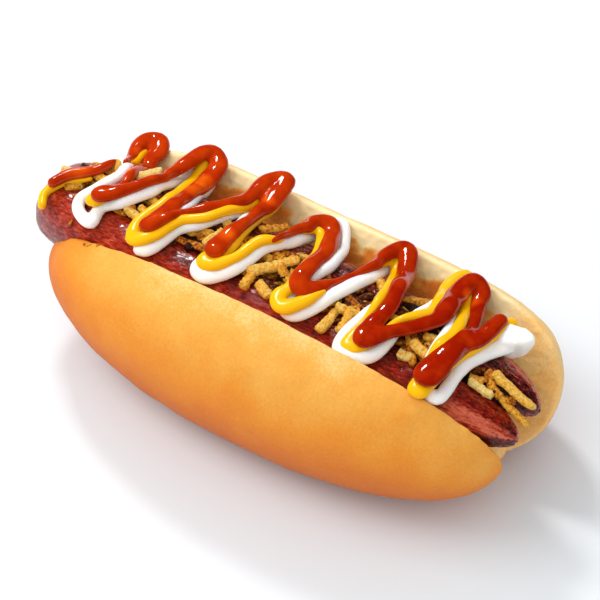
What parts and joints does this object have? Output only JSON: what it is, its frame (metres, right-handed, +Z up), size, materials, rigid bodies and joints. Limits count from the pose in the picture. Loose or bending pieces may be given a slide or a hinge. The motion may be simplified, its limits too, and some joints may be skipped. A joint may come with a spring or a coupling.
{
  "type": "hot dog",
  "caption": "Soft slit bun holding a butterflied sausage, crispy fried onions and mayonnaise, mustard and ketchup piped in a zigzag; rests on its flat underside.",
  "frame": {"origin": "middle of the whole's bounding box, at the height of the surface that the bun rests on", "axes": "+X along the bun and the sausage, +Y across it towards the half of the bun whose cut face shows, +Z up out of the slit"},
  "size_m": [0.163, 0.08, 0.0598],
  "materials": {
    "bun": "matte baked crust, golden to orange-brown, cream where it is cut",
    "sausage": "glossy brick-red skin, wrinkled at the ends",
    "fried_onions": "rough, crisp, golden to brown",
    "mayonnaise": "soft gloss, white",
    "mustard": "soft gloss, warm yellow",
    "ketchup": "wet gloss, orange-red to dark red"
  },
  "bodies": {
    "root": {"bun": "bun", "sausage": "sausage", "fried_onions": "fried_onions", "mayonnaise": "mayonnaise", "mustard": "mustard", "ketchup": "ketchup"}
  },
  "joints": []
}
